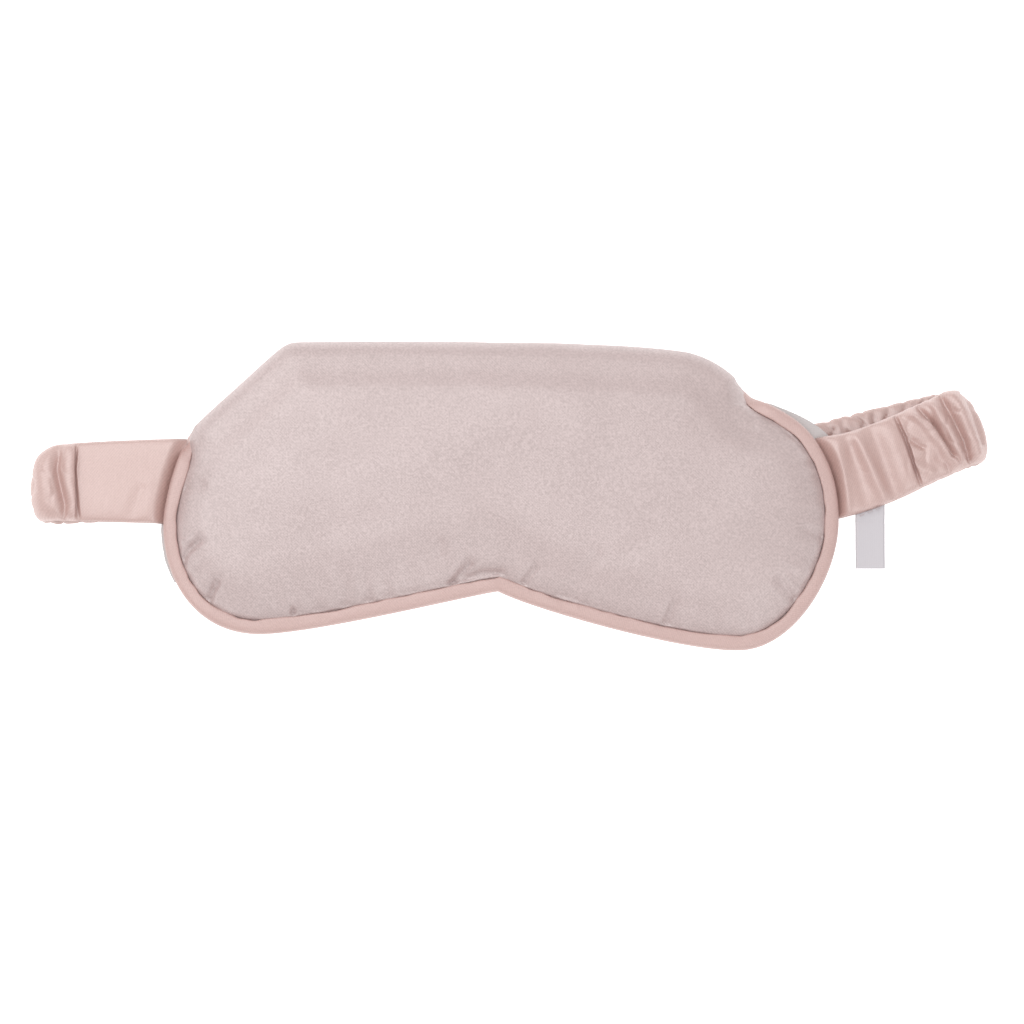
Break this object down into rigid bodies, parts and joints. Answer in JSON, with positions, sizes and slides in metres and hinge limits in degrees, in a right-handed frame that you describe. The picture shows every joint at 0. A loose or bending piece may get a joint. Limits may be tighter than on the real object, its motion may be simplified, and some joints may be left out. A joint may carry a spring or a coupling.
{
  "type": "sleep eye mask",
  "caption": "Padded satin sleep mask with a bound edge and a gathered elastic strap, lying face up on the strap, which opens into a loop for the head.",
  "frame": {"origin": "on the surface the strap lies on, below the middle of the mask", "axes": "+X along the mask to the wearer's left, +Y to the forehead, +Z out of the front face"},
  "size_m": [0.2825, 0.0909, 0.018],
  "materials": {
    "satin": "pale pink satin with a fine diagonal twill",
    "satin_binding": "pink satin bias tape",
    "strap_satin": "gathered pale pink satin",
    "lining": "pale grey-white lining cloth",
    "wadding": "soft white fill",
    "blackout_cloth": "dark close-woven cloth",
    "foam": "soft white foam",
    "elastic_band": "white knitted elastic",
    "label_ribbon": "white satin ribbon",
    "thread": "pink sewing thread"
  },
  "bodies": {
    "centre_back": {"casing_centre_back": "strap_satin", "elastic_centre_back": "elastic_band"},
    "left_back": {"casing_left_back": "strap_satin", "elastic_left_back": "elastic_band", "casing_left_turn": "strap_satin", "elastic_left_turn": "elastic_band"},
    "left_side": {"casing_left_side": "strap_satin", "elastic_left_side": "elastic_band"},
    "mask": {"front_panel": "satin", "front_wadding": "wadding", "blackout_liner": "blackout_cloth", "rear_foam": "foam", "rear_panel": "lining", "binding": "satin_binding", "binding_stitching": "thread", "left_strap_stitching": "thread", "right_strap_stitching": "thread"},
    "right_back": {"casing_right_back": "strap_satin", "elastic_right_back": "elastic_band", "casing_right_turn": "strap_satin", "elastic_right_turn": "elastic_band"},
    "right_side": {"casing_right_side": "strap_satin", "elastic_right_side": "elastic_band"},
    "label": {"care_label": "label_ribbon", "label_stitching": "thread"}
  },
  "joints": [
    {"name": "left_back_bend", "type": "hinge", "parent": "centre_back", "child": "left_back", "pos_m": [-0.075, 0.0048, 0.0034], "axis": [0, 1, 0], "range_deg": [0, 48]},
    {"name": "left_turn_fold", "type": "hinge", "parent": "left_back", "child": "left_side", "pos_m": [-0.1361, 0.0044, 0.0057], "axis": [0, 1, 0], "range_deg": [-118, 0], "deforming": ["casing_left_turn", "elastic_left_turn"]},
    {"name": "mask_lift", "type": "hinge", "parent": "left_side", "child": "mask", "pos_m": [-0.10325, 0.0047, 0.008], "axis": [0, 1, 0], "range_deg": [0, 70]},
    {"name": "right_back_bend", "type": "hinge", "parent": "centre_back", "child": "right_back", "pos_m": [0.0652, 0.0077, 0.0034], "axis": [0, 1, 0], "range_deg": [-51, 0]},
    {"name": "right_turn_fold", "type": "hinge", "parent": "right_back", "child": "right_side", "pos_m": [0.1275, 0.0184, 0.0057], "axis": [0, 1, 0], "range_deg": [0, 121], "deforming": ["casing_right_turn", "elastic_right_turn"]},
    {"name": "label_flip", "type": "hinge", "parent": "right_side", "child": "label", "pos_m": [0.1071, -0.0031, 0.0097], "axis": [-0.9186, -0.3952, 0], "range_deg": [0, 75]}
  ],
  "couplings": [
    {"joint": "left_back_bend", "follows": "mask_lift", "ratio": 0.683},
    {"joint": "left_turn_fold", "follows": "mask_lift", "ratio": -1.683},
    {"joint": "right_back_bend", "follows": "mask_lift", "ratio": -0.728},
    {"joint": "right_turn_fold", "follows": "mask_lift", "ratio": 1.728}
  ]
}
